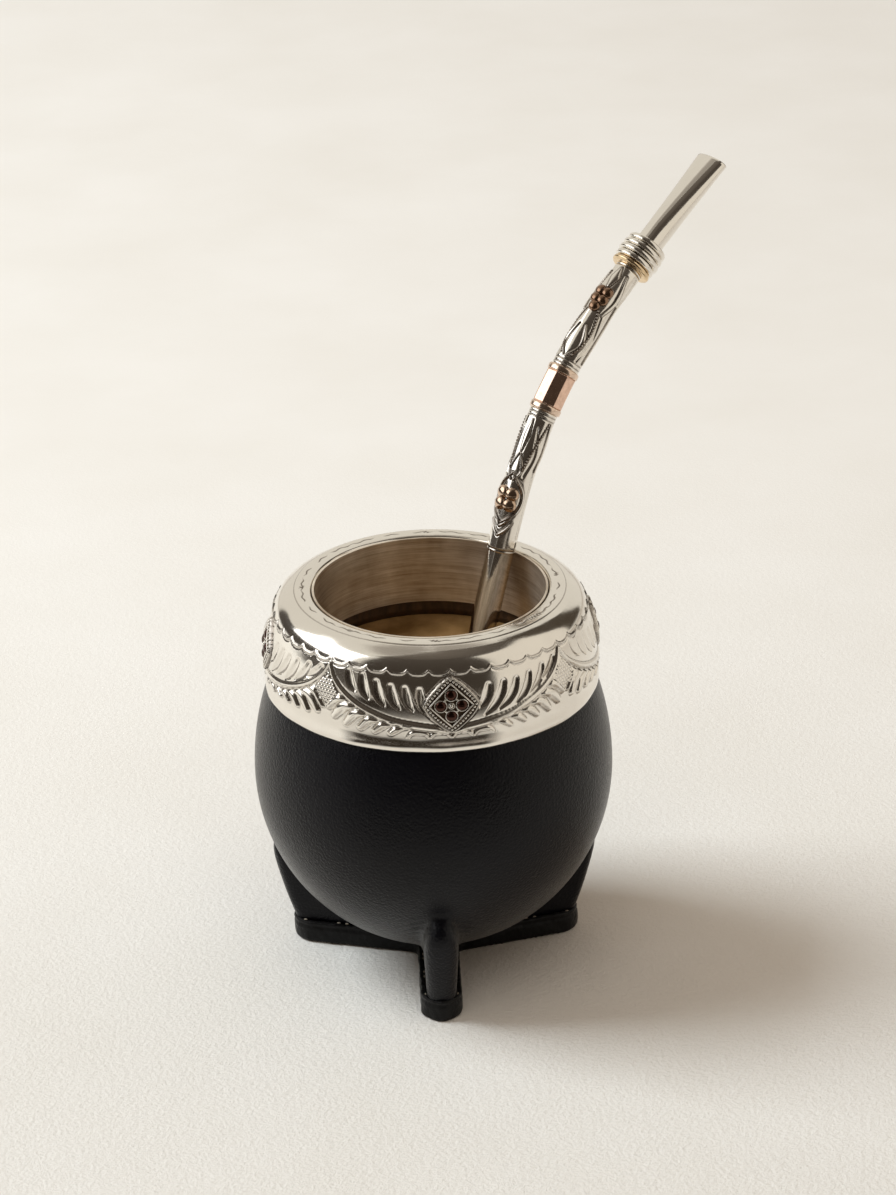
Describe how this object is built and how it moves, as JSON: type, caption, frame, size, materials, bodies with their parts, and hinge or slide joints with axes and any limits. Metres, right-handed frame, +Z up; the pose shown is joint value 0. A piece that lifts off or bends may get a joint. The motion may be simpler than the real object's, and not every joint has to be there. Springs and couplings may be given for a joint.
{
  "type": "mate gourd drink",
  "caption": "Gourd cup in black leather on three leather feet, with a chased silver ferrule, filled with mate tea and holding a bent metal drinking straw",
  "frame": {"origin": "Centre of the flat underside of the sole, on the cup's upright axis", "axes": "+Z is up, the front foot points to -Y, and the straw leans towards +X and +Y"},
  "size_m": [0.123, 0.1129, 0.1896],
  "materials": {
    "sole_leather": "satin stacked sole",
    "black_leather": "fine grain, satin",
    "dry_gourd": "matt",
    "chased_silver": "polished, chased by hand",
    "polished_silver": "polished",
    "brushed_liner": "brushed round the bore",
    "mate_drink": "still liquid",
    "red_copper": "polished flats",
    "gold_ring": "polished",
    "gold_stone": "polished",
    "copper_stone": "polished"
  },
  "bodies": {
    "root": {"drink": "mate_drink", "ferrule": "chased_silver", "gourd_shell": "dry_gourd", "inner_sleeve": "brushed_liner", "leather_cover": "black_leather", "leg_1": "black_leather", "leg_2": "black_leather", "leg_3": "black_leather", "rosette_1_bead": "chased_silver", "rosette_1_plaque": "chased_silver", "rosette_1_stone_1": "copper_stone", "rosette_1_stone_2": "copper_stone", "rosette_1_stone_3": "copper_stone", "rosette_1_stone_4": "copper_stone", "rosette_2_bead": "chased_silver", "rosette_2_plaque": "chased_silver", "rosette_2_stone_1": "copper_stone", "rosette_2_stone_2": "copper_stone", "rosette_2_stone_3": "copper_stone", "rosette_2_stone_4": "copper_stone", "rosette_3_bead": "chased_silver", "rosette_3_plaque": "chased_silver", "rosette_3_stone_1": "copper_stone", "rosette_3_stone_2": "copper_stone", "rosette_3_stone_3": "copper_stone", "rosette_3_stone_4": "copper_stone", "rosette_4_bead": "chased_silver", "rosette_4_plaque": "chased_silver", "rosette_4_stone_1": "copper_stone", "rosette_4_stone_2": "copper_stone", "rosette_4_stone_3": "copper_stone", "rosette_4_stone_4": "copper_stone", "sole": "sole_leather", "straw_chased_lower": "chased_silver", "straw_chased_upper": "chased_silver", "straw_collar_ring_1": "polished_silver", "straw_collar_ring_2": "polished_silver", "straw_collar_ring_3": "polished_silver", "straw_collar_ring_4": "polished_silver", "straw_copper_band_lower": "red_copper", "straw_copper_band_upper": "red_copper", "straw_copper_sleeve": "red_copper", "straw_gold_ring": "gold_ring", "straw_lower_stone_1": "gold_stone", "straw_lower_stone_2": "gold_stone", "straw_lower_stone_3": "gold_stone", "straw_lower_stone_4": "gold_stone", "straw_mouthpiece": "polished_silver", "straw_stem": "polished_silver", "straw_upper_stone_1": "copper_stone", "straw_upper_stone_2": "copper_stone", "straw_upper_stone_3": "copper_stone", "straw_upper_stone_4": "copper_stone", "straw_upper_stone_5": "copper_stone", "welt": "black_leather"}
  },
  "joints": []
}
